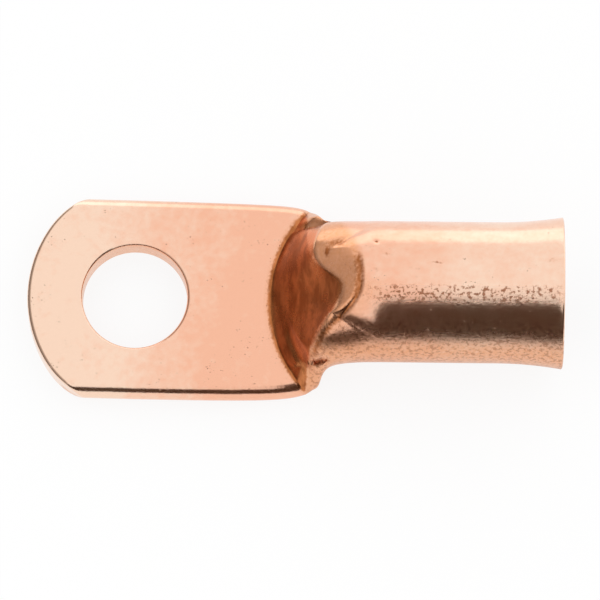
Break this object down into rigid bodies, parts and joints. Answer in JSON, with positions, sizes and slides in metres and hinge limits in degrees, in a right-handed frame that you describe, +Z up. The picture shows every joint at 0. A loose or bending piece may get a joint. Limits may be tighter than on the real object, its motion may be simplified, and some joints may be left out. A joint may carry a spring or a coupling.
{
  "type": "copper cable lug",
  "caption": "Tubular copper crimp lug: a round barrel with a belled mouth for the cable, pressed flat at the other end into a palm with a stud hole.",
  "frame": {"origin": "centre of the stud hole on the palm's underside, which is the contact face", "axes": "+X along the barrel towards its mouth, +Z up out of the stud hole, away from the contact face"},
  "size_m": [0.0536, 0.0206, 0.0152],
  "materials": {
    "copper": "bright soft copper, pickled, finely pitted and scratched"
  },
  "bodies": {
    "root": {"cable_lug": "copper"}
  },
  "joints": []
}
